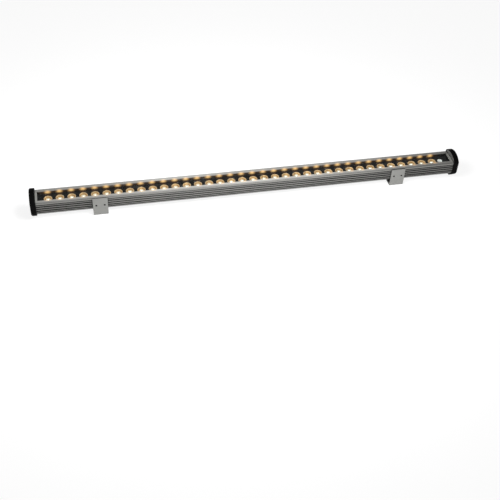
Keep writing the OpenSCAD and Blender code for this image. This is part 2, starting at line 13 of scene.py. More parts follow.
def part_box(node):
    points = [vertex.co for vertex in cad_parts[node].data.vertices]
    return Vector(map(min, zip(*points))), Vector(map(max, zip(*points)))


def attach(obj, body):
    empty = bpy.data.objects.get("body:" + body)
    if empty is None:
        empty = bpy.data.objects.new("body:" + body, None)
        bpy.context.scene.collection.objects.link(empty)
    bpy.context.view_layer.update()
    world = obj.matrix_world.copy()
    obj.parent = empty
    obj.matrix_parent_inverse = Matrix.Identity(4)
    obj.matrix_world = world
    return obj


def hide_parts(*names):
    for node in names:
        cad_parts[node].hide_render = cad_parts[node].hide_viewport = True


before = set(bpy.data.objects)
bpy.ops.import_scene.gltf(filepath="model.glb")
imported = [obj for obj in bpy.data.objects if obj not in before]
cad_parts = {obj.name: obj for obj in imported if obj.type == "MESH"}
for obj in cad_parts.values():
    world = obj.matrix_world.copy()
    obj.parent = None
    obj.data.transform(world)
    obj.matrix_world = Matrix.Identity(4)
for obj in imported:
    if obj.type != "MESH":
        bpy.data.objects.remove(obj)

LOG = logging.getLogger("grazer")
MM = 0.001
BLACK = (0.0, 0.0, 0.0)
WHITE = (1.0, 1.0, 1.0, 1.0)
Colour = tuple[float, float, float]
Point = tuple[float, float, float]
Span = tuple[float, float]


class Side(Enum):
    """The two ends of the bar, as the nodes are named."""

    LEFT = "left"
    RIGHT = "right"


class Grain(Enum):
    """The ways in which a surface is textured."""

    DRAWN = "drawn"
    BLASTED = "blasted"
    MOULDED = "moulded"


class Net:
    """Adds nodes to one tree and joins them."""

    def __init__(self, tree: bpy.types.NodeTree) -> None:
        """Keeps the tree.

        Args:
            tree: The shader or geometry tree that is being built.
        """
        self.tree = tree

    def add(self, kind: str, inputs: dict | None = None, **settings: object) -> bpy.types.Node:
        """Adds one node.

        Args:
            kind: The node's type name.
            inputs: Values or sockets for its inputs, by name or number.
            **settings: Properties of the node itself.

        Returns:
            The new node.
        """
        node = self.tree.nodes.new(kind)
        for name, value in settings.items():
            setattr(node, name, value)
        self.fill(node, inputs or {})
        return node

    def fill(self, node: bpy.types.Node, inputs: dict) -> None:
        """Sets or joins some inputs of a node.

        Args:
            node: The node.
            inputs: Values or sockets, by the input's name or number.
        """
        for key, value in inputs.items():
            if isinstance(value, bpy.types.NodeSocket):
                self.tree.links.new(value, node.inputs[key])
            else:
                node.inputs[key].default_value = value

    def math(self, operation: str, a: object, b: object = 0.0,
             clamp: bool = False) -> bpy.types.NodeSocket:
        """Adds a Math node.

        Args:
            operation: The name of the operation.
            a: First value or socket.
            b: Second value or socket.
            clamp: Whether the result is kept from 0 to 1.

        Returns:
            The result's socket.
        """
        node = self.add("ShaderNodeMath", {0: a, 1: b}, operation=operation, use_clamp=clamp)
        return node.outputs[0]

    def ramp(self, value: object, low: object, high: object, to_low: object = 0.0,
             to_high: object = 1.0, smooth: bool = True) -> bpy.types.NodeSocket:
        """Adds a Map Range node.

        Args:
            value: The value or socket that is mapped.
            low: Where the input range starts.
            high: Where the input range ends.
            to_low: The result at low.
            to_high: The result at high.
            smooth: Whether the steps at both ends are eased.

        Returns:
            The result's socket.
        """
        kind = "SMOOTHSTEP" if smooth else "LINEAR"
        node = self.add("ShaderNodeMapRange", {0: value, 1: low, 2: high, 3: to_low, 4: to_high},
                        interpolation_type=kind)
        return node.outputs[0]

    def mix(self, factor: object, a: object, b: object) -> bpy.types.NodeSocket:
        """Mixes two colours.

        Args:
            factor: 0 gives a and 1 gives b.
            a: A colour or a socket.
            b: A colour or a socket.

        Returns:
            The mixed colour's socket.
        """
        first, second = (c if isinstance(c, bpy.types.NodeSocket) else (*c, 1.0) for c in (a, b))
        node = self.add("ShaderNodeMix", {0: factor, 6: first, 7: second}, data_type="RGBA")
        return node.outputs[2]

    def product(self, first: object, *others: object) -> bpy.types.NodeSocket:
        """Multiplies two or more values.

        Args:
            first: A value or socket.
            *others: More values or sockets.

        Returns:
            The product's socket.
        """
        for other in others:
            first = self.math("MULTIPLY", first, other)
        return first

    def object_place(self) -> bpy.types.NodeSocket:
        """Gives the socket of the Object coordinates."""
        return self.add("ShaderNodeTexCoord").outputs["Object"]

    def noise(self, place: object, scale: object, detail: float,
              roughness: float = 0.5) -> bpy.types.NodeSocket:
        """Adds a Noise Texture.

        Args:
            place: The coordinates' socket.
            scale: Its scale, in repeats a metre.
            detail: How many octaves it has.
            roughness: The weight of the finer octaves.

        Returns:
            The factor's socket.
        """
        node = self.add("ShaderNodeTexNoise", {"Vector": place, "Scale": scale, "Detail": detail,
                                               "Roughness": roughness})
        return node.outputs[0]


def new_group(name: str, kind: str, inputs: dict[str, tuple[str, object]],
              outputs: dict[str, str]) -> tuple[Net, bpy.types.Node, bpy.types.Node]:
    """Makes an empty node group with named sockets.

    Args:
        name: The group's name.
        kind: The tree's type.
        inputs: Each input's socket type and first value, by name.
        outputs: Each output's socket type, by name.

    Returns:
        The net, the input node and the output node.
    """
    tree = bpy.data.node_groups.new(name, kind)
    for title, (socket, value) in inputs.items():
        item = tree.interface.new_socket(title, in_out="INPUT", socket_type=socket)
        if value is not None:
            item.default_value = value
    for title, socket in outputs.items():
        tree.interface.new_socket(title, in_out="OUTPUT", socket_type=socket)
    net = Net(tree)
    return net, net.add("NodeGroupInput"), net.add("NodeGroupOutput")


def new_material(name: str) -> tuple[bpy.types.Material, Net, bpy.types.Node]:
    """Makes a material that uses nodes.

    Args:
        name: The material's name.

    Returns:
        The material, its net and its Principled node.
    """
    made = bpy.data.materials.new(name)
    made.use_nodes = True
    return made, Net(made.node_tree), made.node_tree.nodes["Principled BSDF"]


@dataclass(frozen=True)
class PatchShape:
    """The form of one patch of LED light.

    Heights count from 0 at the rim to 1 at the glass, and widths in reaches of a patch.
    """

    middle: float = 0.6
    half_height: float = 0.72
    core: float = 0.2
    haze_rise: Span = (0.02, 0.4)
    haze_end: Span = (0.95, 0.45)
    deck_gain: float = 0.22
    deck_floor: float = -0.3
    arc_height: Span = (-0.1, 0.5)
    arc_width: Span = (0.42, 0.7)
    arc_edge: Span = (0.12, 0.02)
    arc_gain: float = 0.24
    arc_foot: Span = (-0.2, 0.0)
    arc_head: Span = (0.6, 0.3)


class SurfaceKit:
    """The effects that several finishes share, each built once as a node group."""

    def __init__(self) -> None:
        """Builds the groups."""
        self.grain = self._grain()
        self.wear = self._wear()
        self.crevice = self._crevice()
        self.spill = self._spill(PatchShape())

    def _grain(self) -> bpy.types.NodeTree:
        """Slow drift of tone and fine grain, drawn out along the bar.

        Returns:
            The group, with the outputs Drift and Grain.
        """
        net, given, out = new_group("tone_and_grain", "ShaderNodeTree", {
            "Scale": ("NodeSocketFloat", 400.0), "Along": ("NodeSocketFloat", 1.0),
            "Drift scale": ("NodeSocketFloat", 12.0)},
            {"Drift": "NodeSocketFloat", "Grain": "NodeSocketFloat"})
        place = net.object_place()
        stretch = net.add("ShaderNodeCombineXYZ", {0: given.outputs["Along"], 1: 1.0, 2: 1.0})
        drawn = net.add("ShaderNodeVectorMath", {0: place, 1: stretch.outputs[0]},
                        operation="MULTIPLY")
        fine = net.noise(drawn.outputs[0], given.outputs["Scale"], 3.0, 0.6)
        slow = net.noise(place, given.outputs["Drift scale"], 2.0)
        net.fill(out, {title: net.ramp(noise, 0.3, 0.7, smooth=False)
                       for title, noise in (("Drift", slow), ("Grain", fine))})
        return net.tree

    def _wear(self) -> bpy.types.NodeTree:
        """Rounded edges, and a mask of where they are rubbed.

        Returns:
            The group, with the outputs Mask and Normal.
        """
        net, given, out = new_group("edge_wear", "ShaderNodeTree", {
            "Radius": ("NodeSocketFloat", 0.0004), "Spread": ("NodeSocketFloat", 0.12)},
            {"Mask": "NodeSocketFloat", "Normal": "NodeSocketVector"})
        bevel = net.add("ShaderNodeBevel", {"Radius": given.outputs["Radius"]}, samples=6)
        flat = net.add("ShaderNodeNewGeometry").outputs["Normal"]
        turn = net.add("ShaderNodeVectorMath", {0: bevel.outputs[0], 1: flat},
                       operation="DOT_PRODUCT")
        edge = net.math("SUBTRACT", 1.0, turn.outputs["Value"])
        raised = net.math("DIVIDE", edge, given.outputs["Spread"], clamp=True)
        patch = net.noise(net.object_place(), 260.0, 4.0)
        net.fill(out, {"Mask": net.product(raised, net.ramp(patch, 0.35, 0.65)),
                       "Normal": bevel.outputs[0]})
        return net.tree

    def _crevice(self) -> bpy.types.NodeTree:
        """How much light reaches a point past the faces near it.

        Returns:
            The group, with the output Open.
        """
        net, given, out = new_group("crevice_shade", "ShaderNodeTree", {
            "Reach": ("NodeSocketFloat", 0.004), "Dark below": ("NodeSocketFloat", 0.4),
            "Clear above": ("NodeSocketFloat", 0.9), "Darkest": ("NodeSocketFloat", 0.15)},
            {"Open": "NodeSocketFloat"})
        reach = net.add("ShaderNodeAmbientOcclusion", {"Distance": given.outputs["Reach"]},
                        samples=8)
        mapped = net.ramp(reach.outputs["AO"], given.outputs["Dark below"],
                          given.outputs["Clear above"], given.outputs["Darkest"], 1.0)
        net.fill(out, {"Open": mapped})
        return net.tree

    def _spill(self, shape: PatchShape) -> bpy.types.NodeTree:
        """The patches of LED light on the walls and the deck beside the row.

        Args:
            shape: The form of a patch.

        Returns:
            The group, with the outputs Mask, for the patches, and Haze, for the faint light
            along the wall between them.
        """
        net, given, out = new_group("led_spill", "ShaderNodeTree", {
            "First": ("NodeSocketFloat", 0.0), "Pitch": ("NodeSocketFloat", 0.02),
            "Last": ("NodeSocketFloat", 1.0), "Reach": ("NodeSocketFloat", 0.008),
            "Low": ("NodeSocketFloat", 0.03), "High": ("NodeSocketFloat", 0.04),
            "Inside": ("NodeSocketFloat", 0.015), "Outside": ("NodeSocketFloat", 0.019),
            "Deck reach": ("NodeSocketFloat", 0.005)},
            {"Mask": "NodeSocketFloat", "Haze": "NodeSocketFloat"})
        place = given.outputs
        x, y, z = net.add("ShaderNodeSeparateXYZ", {0: net.object_place()}).outputs
        # Along the row, in pitches and then in reaches from the nearest LED
        step = net.math("DIVIDE", net.math("SUBTRACT", x, place["First"]), place["Pitch"])
        near = net.math("MAXIMUM", net.math("ROUND", step), 0.0)
        near = net.math("MINIMUM", near, place["Last"])
        off = net.math("ABSOLUTE", net.math("SUBTRACT", step, near))
        across = net.math("DIVIDE", net.product(off, place["Pitch"]), place["Reach"])
        height = net.math("DIVIDE", net.math("SUBTRACT", z, place["Low"]),
                          net.math("SUBTRACT", place["High"], place["Low"]))
        # The round patch on the wall
        tall = net.math("DIVIDE", net.math("SUBTRACT", height, shape.middle), shape.half_height)
        oval = net.add("ShaderNodeCombineXYZ", {0: across, 1: tall})
        far = net.add("ShaderNodeVectorMath", {0: oval.outputs[0]}, operation="LENGTH")
        spot = net.ramp(far.outputs["Value"], 1.0, shape.core)
        side = net.math("ABSOLUTE", y)
        wall = net.product(net.math("GREATER_THAN", side, place["Inside"]),
                           net.math("LESS_THAN", side, place["Outside"]))
        # The thin arcs that open upwards from the rim to the patch
        bend = net.math("SUBTRACT", across, net.ramp(height, *shape.arc_height, *shape.arc_width))
        arc = net.product(
            net.ramp(net.math("ABSOLUTE", bend), *shape.arc_edge, 0.0, shape.arc_gain),
            net.ramp(height, *shape.arc_foot), net.ramp(height, *shape.arc_head))
        on_wall = net.product(net.math("MAXIMUM", spot, arc), wall)
        # The faint light on the deck at the foot of the wall, and not on the bar's underside
        edge = net.math("DIVIDE", net.math("SUBTRACT", place["Inside"], side),
                        place["Deck reach"])
        on_deck = net.product(
            net.ramp(edge, 1.0, 0.0, 0.0, shape.deck_gain), net.math("GREATER_THAN", edge, 0.0),
            net.math("GREATER_THAN", height, shape.deck_floor), net.ramp(across, 1.0, 0.0))
        haze = net.product(net.ramp(height, *shape.haze_rise), wall,
                           net.ramp(off, *shape.haze_end))
        net.fill(out, {"Mask": net.math("MAXIMUM", on_wall, on_deck), "Haze": haze})
        return net.tree


@dataclass(frozen=True)
class RowSizes:
    """Where the LEDs stand, in metres."""

    first: float
    pitch: float
    count: int
    board: float
    deck: float
    rim: float
    foot: float
    rim_r: float

    @property
    def last(self) -> float:
        """Gives the number of the last LED, counted from zero."""
        return float(self.count - 1)


@dataclass(frozen=True)
class LipHighlight:
    """How much brighter the lips are painted than the rest of the extrusion: a painted highlight
    on their tops and painted light on their outer faces.
    """

    inner: float = 15.6 * MM
    outer: float = 24.5 * MM
    front_gain: Span = (1.75, 2.7)
    rear_gain: Span = (1.85, 2.1)
    streak_stretch: float = 0.6
    streak_scale: float = 9.0
    streak_gain: Span = (0.9, 1.1)
    flat_above: float = 0.95
    slope_above: float = 0.3
    slope_loss: float = 0.9
    face_deep: float = 4.5 * MM
    face_gain: float = 1.3


@dataclass(frozen=True)
class SpillLight:
    """Where the LED light falls beside the row, and its colours."""

    reach: float = 11.5 * MM
    over_rim: Span = (0.2 * MM, 9.6 * MM)
    wall: Span = (15.0 * MM, 18.9 * MM)
    deck_reach: float = 6.0 * MM
    dim: Colour = (0.25, 0.10, 0.024)
    bright: Colour = (0.93, 0.58, 0.22)
    haze: Colour = (0.026, 0.013, 0.006)


@dataclass(frozen=True)
class Finish:
    """One finish of the lamp's hard surfaces, with the painted shade in crevices and any painted
    highlight and painted light that it carries.
    """

    name: str
    colour: Colour
    roughness: float
    metallic: float = 0.0
    grain: Grain = Grain.MOULDED
    scale: float = 900.0
    drawn_out: float = 0.012
    relief: float = 0.12
    relief_depth: float = 0.00003
    cell_scale: float = 1.4
    tone: float = 0.12
    gloss_spread: float = 0.08
    edge_r: float = 0.0003
    edge_gain: float = 1.35
    edge_colour: Colour | None = None
    rub: float = 0.6
    shine: float = 0.5
    crevice: float = 0.35
    reach: float = 0.004
    lip_z: float = 0.0
    lips: LipHighlight = LipHighlight()
    painted_glow: float = 0.0
    spill: SpillLight | None = None

    def material(self, kit: SurfaceKit, row: RowSizes) -> bpy.types.Material:
        """Builds the material.

        Args:
            kit: The shared node groups.
            row: The LED row, whose light falls on some finishes.

        Returns:
            The new material.
        """
        made, net, shader = new_material(self.name)
        grain = net.add("ShaderNodeGroup", node_tree=kit.grain)
        net.fill(grain, {"Scale": self.scale,
                         "Along": self.drawn_out if self.grain is Grain.DRAWN else 1.0})
        wear = net.add("ShaderNodeGroup", node_tree=kit.wear)
        net.fill(wear, {"Radius": self.edge_r})
        shade = net.add("ShaderNodeGroup", node_tree=kit.crevice)
        net.fill(shade, {"Reach": self.reach, "Darkest": self.crevice})
        dark = tuple(c * (1.0 - self.tone) for c in self.colour)
        light = tuple(min(1.0, c * (1.0 + self.tone)) for c in self.colour)
        both = net.math("ADD", net.product(grain.outputs["Drift"], 0.5),
                        net.product(grain.outputs["Grain"], 0.5))
        colour = net.mix(both, dark, light)
        # Painted highlight on the lips' tops and painted light on their outer faces
        if self.lip_z:
            colour = self._paint_lip_highlight(net, colour)
        rubbed = self.edge_colour or tuple(min(1.0, c * self.edge_gain) for c in self.colour)
        colour = net.mix(net.product(wear.outputs["Mask"], self.rub), colour, rubbed)
        colour = net.mix(shade.outputs["Open"], BLACK, colour)
        rough = net.ramp(grain.outputs["Grain"], 0.0, 1.0, self.roughness - self.gloss_spread,
                         self.roughness + self.gloss_spread, smooth=False)
        height = grain.outputs["Grain"]
        if self.grain is not Grain.DRAWN:
            cell = net.add("ShaderNodeTexVoronoi", {
                "Vector": net.object_place(), "Scale": self.scale * self.cell_scale}, feature="F1")
            height = net.math("ADD", net.product(height, 0.5), cell.outputs["Distance"])
        bump = net.add("ShaderNodeBump", {"Strength": self.relief, "Distance": self.relief_depth,
                                          "Height": height, "Normal": wear.outputs["Normal"]})
        net.fill(shader, {"Base Color": colour, "Roughness": rough, "Metallic": self.metallic,
                          "Specular IOR Level": self.shine, "Normal": bump.outputs[0]})
        if self.spill:
            self._light_up(net, shader, kit, row)
        # Painted light: the surface glows with its own colour
        if self.painted_glow:
            net.fill(shader, {"Emission Color": colour, "Emission Strength": self.painted_glow})
        return made

    def _paint_lip_highlight(self, net: Net, colour: bpy.types.NodeSocket) -> bpy.types.NodeSocket:
        """Paints a highlight on the lips' tops, brightest towards the window, and painted light on
        their outer faces.

        Args:
            net: The material's net.
            colour: The colour so far.

        Returns:
            The new colour's socket.
        """
        lips = self.lips
        x, y, z = net.add("ShaderNodeSeparateXYZ", {0: net.object_place()}).outputs
        front = net.product(net.ramp(y, -lips.outer, -lips.inner, *lips.front_gain),
                            net.math("LESS_THAN", y, 0.0))
        rear = net.product(net.ramp(y, lips.inner, lips.outer, *lips.rear_gain),
                           net.math("GREATER_THAN", y, 0.0))
        streak = net.add("ShaderNodeCombineXYZ", {0: net.product(x, lips.streak_stretch), 1: y})
        wander = net.noise(streak.outputs[0], lips.streak_scale, 1.0)
        top_gain = net.product(net.math("ADD", front, rear),
                               net.ramp(wander, 0.35, 0.65, *lips.streak_gain))
        # The flat tops get the painted highlight, which wanders in streaks along the bar; the
        # outer faces near the lips get painted light, and their sloped edges are painted darker
        facing = net.add("ShaderNodeNewGeometry").outputs["Normal"]
        upward = net.add("ShaderNodeSeparateXYZ", {0: facing}).outputs[2]
        top = net.product(net.math("GREATER_THAN", z, self.lip_z),
                          net.math("GREATER_THAN", upward, lips.flat_above))
        sloped = net.product(net.math("GREATER_THAN", upward, lips.slope_above),
                             net.math("LESS_THAN", upward, lips.flat_above))
        raised = net.math("SUBTRACT", lips.face_gain - 1.0, net.product(sloped, lips.slope_loss))
        face = net.product(net.math("GREATER_THAN", z, self.lip_z - lips.face_deep), raised)
        gain = net.math("ADD", net.product(top_gain, top),
                        net.product(net.math("ADD", face, 1.0), net.math("SUBTRACT", 1.0, top)))
        scaled = net.add("ShaderNodeVectorMath", {0: colour, "Scale": gain}, operation="SCALE")
        return scaled.outputs[0]

    def _light_up(self, net: Net, shader: bpy.types.Node, kit: SurfaceKit, row: RowSizes) -> None:
        """Adds the patches of amber light beside each LED.

        Args:
            net: The material's net.
            shader: Its Principled node.
            kit: The shared node groups.
            row: The LED row.
        """
        light = self.spill
        spill = net.add("ShaderNodeGroup", node_tree=kit.spill)
        net.fill(spill, {"First": row.first, "Pitch": row.pitch, "Last": row.last,
                         "Reach": light.reach, "Low": row.rim + light.over_rim[0],
                         "High": row.rim + light.over_rim[1], "Inside": light.wall[0],
                         "Outside": light.wall[1], "Deck reach": light.deck_reach})
        mask = spill.outputs["Mask"]
        amber = net.mix(mask, light.dim, light.bright)
        haze = net.mix(spill.outputs["Haze"], BLACK, light.haze)
        net.fill(shader, {"Emission Color": net.mix(mask, haze, amber), "Emission Strength": 1.0})


@dataclass(frozen=True)
class GlassFinish:
    """Clear toughened glass."""

    name: str = "window_glass_clear"
    tint: Colour = (0.93, 0.96, 0.95)
    ior: float = 1.47
    smear_scale: float = 30.0
    smear_roughness: float = 0.03

    def material(self) -> bpy.types.Material:
        """Builds the material.

        Returns:
            The new material.
        """
        made, net, shader = new_material(self.name)
        smear = net.noise(net.object_place(), self.smear_scale, 3.0)
        net.fill(shader, {"Base Color": (*self.tint, 1.0), "Transmission Weight": 1.0,
                          "IOR": self.ior,
                          "Roughness": net.ramp(smear, 0.35, 0.75, 0.0, self.smear_roughness)})
        return made


@dataclass(frozen=True)
class BowlFinish:
    """The metallised bowl of an optic, lit from its foot."""

    name: str = "optic_bowl_gold"
    stops: tuple[tuple[float, Colour], ...] = (
        (0.00, (1.0, 0.99, 0.90)),
        (0.25, (1.0, 0.94, 0.72)),
        (0.38, (0.70, 0.46, 0.21)),
        (0.50, (0.40, 0.205, 0.06)),
        (0.64, (0.43, 0.225, 0.07)),
        (0.76, (0.64, 0.41, 0.19)),
        (0.92, (0.74, 0.52, 0.29)),
        (1.00, (0.62, 0.45, 0.27)),
    )
    light: float = 0.74
    metal: Colour = (0.16, 0.10, 0.045)
    metallic: float = 0.8
    roughness: Span = (0.40, 0.56)
    peen_scale: float = 900.0
    peen_shift: float = 0.02
    swirl_scale: float = 420.0
    swirl_shift: float = 0.06

    def material(self) -> bpy.types.Material:
        """Builds the material, which reads the attribute called climb.

        Returns:
            The new material.
        """
        made, net, shader = new_material(self.name)
        climb = net.add("ShaderNodeAttribute", attribute_name="climb").outputs["Fac"]
        place = net.object_place()
        peen = net.add("ShaderNodeTexVoronoi", {"Vector": place, "Scale": self.peen_scale},
                       feature="F1").outputs["Distance"]
        swirl = net.ramp(net.noise(place, self.swirl_scale, 1.0), 0.3, 0.7,
                         -self.swirl_shift, self.swirl_shift)
        dimple = net.ramp(peen, 0.0, 0.8, -self.peen_shift, self.peen_shift)
        # The swirl fades out at the rim, whose colour stays even
        shift = net.math("ADD", net.product(swirl, net.ramp(climb, 0.95, 0.7)), dimple)
        ramp = net.add("ShaderNodeValToRGB", {0: net.math("ADD", climb, shift)})
        band = ramp.color_ramp
        while len(band.elements) < len(self.stops):
            band.elements.new(0.5)
        for element, (at, colour) in zip(band.elements, self.stops):
            element.position = at
            element.color = (*colour, 1.0)
        bump = net.add("ShaderNodeBump", {"Strength": 0.25, "Distance": 0.1 * MM, "Height": peen})
        net.fill(shader, {"Emission Color": ramp.outputs[0], "Emission Strength": self.light,
                          "Base Color": (*self.metal, 1.0), "Metallic": self.metallic,
                          "Roughness": net.ramp(peen, 0.0, 0.8, *self.roughness),
                          "Normal": bump.outputs[0]})
        return made


@dataclass(frozen=True)
class LampFinish:
    """A surface that gives light by itself."""

    name: str
    colour: Colour
    strength: float
    speck_scale: float = 2500.0
    speck_tone: float = 0.9

    def material(self) -> bpy.types.Material:
        """Builds the material.

        Returns:
            The new material.
        """
        made, net, shader = new_material(self.name)
        speck = net.noise(net.object_place(), self.speck_scale, 2.0)
        tone = net.mix(net.ramp(speck, 0.3, 0.7), self.colour,
                       tuple(c * self.speck_tone for c in self.colour))
        net.fill(shader, {"Base Color": tone, "Emission Color": tone,
                          "Emission Strength": self.strength})
        return made


class Palette:
    """Every material of the lamp, built once."""

    lip_over_rim: float = 9.2 * MM

    def __init__(self, kit: SurfaceKit, row: RowSizes) -> None:
        """Builds the materials.

        Args:
            kit: The shared node groups.
            row: The LED row.
        """
        spill = SpillLight()
        finishes = [
            Finish("extrusion_satin", (0.167, 0.166, 0.157), 0.48, 0.6, Grain.DRAWN, scale=1400.0,
                   relief=0.25, tone=0.14, edge_r=0.00025, rub=0.1, crevice=0.06,
                   lip_z=row.rim + self.lip_over_rim, spill=spill),
            Finish("trim_satin", (0.25, 0.25, 0.243), 0.38, 0.75, Grain.DRAWN, scale=1200.0,
                   relief=0.2, tone=0.08, edge_r=0.0002),
            Finish("strip_satin", (0.46, 0.46, 0.43), 0.42, 0.6, Grain.DRAWN, scale=1200.0,
                   relief=0.2, tone=0.08, edge_r=0.0002),
            Finish("plate_blasted", (0.275, 0.275, 0.262), 0.55, 0.6, Grain.BLASTED, scale=1500.0,
                   relief=0.3, tone=0.06, edge_r=0.0003, crevice=0.04),
            Finish("cap_moulded", (0.0022, 0.0022, 0.0023), 0.6, 0.0, Grain.MOULDED, scale=1300.0,
                   relief=0.35, tone=0.2, edge_r=0.0004, edge_colour=(0.008, 0.008, 0.0085),
                   shine=0.04),
            Finish("tray_moulded", (0.008, 0.008, 0.008), 0.45, 0.0, Grain.MOULDED, scale=1500.0,
                   relief=0.25, tone=0.2, edge_r=0.0002, shine=0.15, spill=spill),
            Finish("seal_rubber_soft", (0.02, 0.02, 0.02), 0.6, 0.0, Grain.MOULDED, scale=1800.0,
                   relief=0.2, tone=0.15, edge_r=0.0001, spill=spill),
            Finish("gasket_rubber_soft", (0.015, 0.015, 0.015), 0.7, 0.0, Grain.MOULDED,
                   scale=1800.0, relief=0.2, tone=0.15, edge_r=0.0001),
            Finish("bushing_rubber_soft", (0.022, 0.022, 0.023), 0.62, 0.0, Grain.MOULDED,
                   scale=1400.0, relief=0.3, tone=0.15, edge_r=0.0003),
            Finish("screw_stainless", (0.42, 0.42, 0.43), 0.3, 1.0, Grain.BLASTED, scale=2500.0,
                   relief=0.15, tone=0.06, edge_r=0.00015),
            Finish("nut_zinc", (0.33, 0.34, 0.35), 0.4, 1.0, Grain.BLASTED, scale=1600.0,
                   relief=0.2, tone=0.1, edge_r=0.0002),
            Finish("board_mask_white", (0.72, 0.72, 0.68), 0.35, 0.0, Grain.MOULDED, scale=2200.0,
                   relief=0.1, tone=0.04, edge_r=0.0001),
            Finish("link_moulded", (0.75, 0.75, 0.70), 0.3, 0.0, Grain.MOULDED, scale=1500.0,
                   relief=0.1, tone=0.04, edge_r=0.0002),
            # The lead cap glows with painted light, since little light reaches it through the
            # glass
            Finish("lead_cap_moulded", (0.80, 0.80, 0.78), 0.28, 0.0, Grain.MOULDED, scale=1500.0,
                   relief=0.1, tone=0.03, edge_r=0.0003, edge_colour=(0.85, 0.85, 0.83),
                   crevice=0.9, painted_glow=0.35),
            Finish("lead_sleeve_smooth", (0.02, 0.02, 0.02), 0.45, 0.0, Grain.MOULDED,
                   scale=2500.0, relief=0.1, tone=0.1, edge_r=0.0001),
            Finish("driver_case_satin", (0.55, 0.55, 0.53), 0.4, 0.5, Grain.DRAWN, scale=900.0,
                   relief=0.2, tone=0.06, edge_r=0.0004),
            Finish("pad_foam_open", (0.03, 0.03, 0.03), 0.85, 0.0, Grain.MOULDED, scale=1100.0,
                   relief=0.8, relief_depth=0.0002, tone=0.3, edge_r=0.0003),
        ]
        self.by_name = {f.name: f.material(kit, row) for f in finishes}
        glass, bowl = GlassFinish(), BowlFinish()
        self.by_name[glass.name] = glass.material()
        self.by_name[bowl.name] = bowl.material()
        for lit in (LampFinish("led_phosphor_lit", (1.0, 0.97, 0.84), 2.2),
                    LampFinish("led_base_lit", (1.0, 0.94, 0.80), 1.5)):
            self.by_name[lit.name] = lit.material()

    def dress(self, node: str, name: str) -> None:
        """Gives a CAD node its material.

        Args:
            node: The node's name.
            name: The material's name.
        """
        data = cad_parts[node].data
        data.materials.clear()
        data.materials.append(self.by_name[name])


@dataclass
class Loop:
    """One ring of a turned shape, as radius, height and a value that the finish reads."""

    r: float
    z: float
    climb: float = 0.0


def turned_mesh(name: str, loops: list[Loop], sides: int) -> bpy.types.Object:
    """Makes a closed ring-shaped solid from its profile.

    Args:
        name: The object's name.
        loops: The profile's rings, in order round the section.
        sides: How many faces go round.

    Returns:
        The new object, which isn't in the scene yet.
    """
    points, faces, climbs = [], [], []
    for loop in loops:
        for i in range(sides):
            a = 2.0 * math.pi * i / sides
            points.append((loop.r * math.cos(a), loop.r * math.sin(a), loop.z))
            climbs.append(loop.climb)
    for k in range(len(loops)):
        here, there = k * sides, (k + 1) % len(loops) * sides
        for i in range(sides):
            j = (i + 1) % sides
            faces.append((here + i, here + j, there + j, there + i))
    return mesh_object(name, points, faces, climbs)


def mesh_object(name: str, points: list, faces: list,
                climbs: list[float] | None = None) -> bpy.types.Object:
    """Makes an object from points and faces, with its faces turned outwards.

    Args:
        name: The object's name.
        points: The vertices.
        faces: The faces, as numbers of vertices.
        climbs: A value for each vertex, kept as the attribute climb.

    Returns:
        The new object, which isn't in the scene yet.
    """
    data = bpy.data.meshes.new(name)
    data.from_pydata(points, [], faces)
    if climbs:
        layer = data.attributes.new("climb", "FLOAT", "POINT")
        layer.data.foreach_set("value", climbs)
    work = bmesh.new()
    work.from_mesh(data)
    bmesh.ops.recalc_face_normals(work, faces=work.faces)
    work.to_mesh(data)
    work.free()
    return bpy.data.objects.new(name, data)


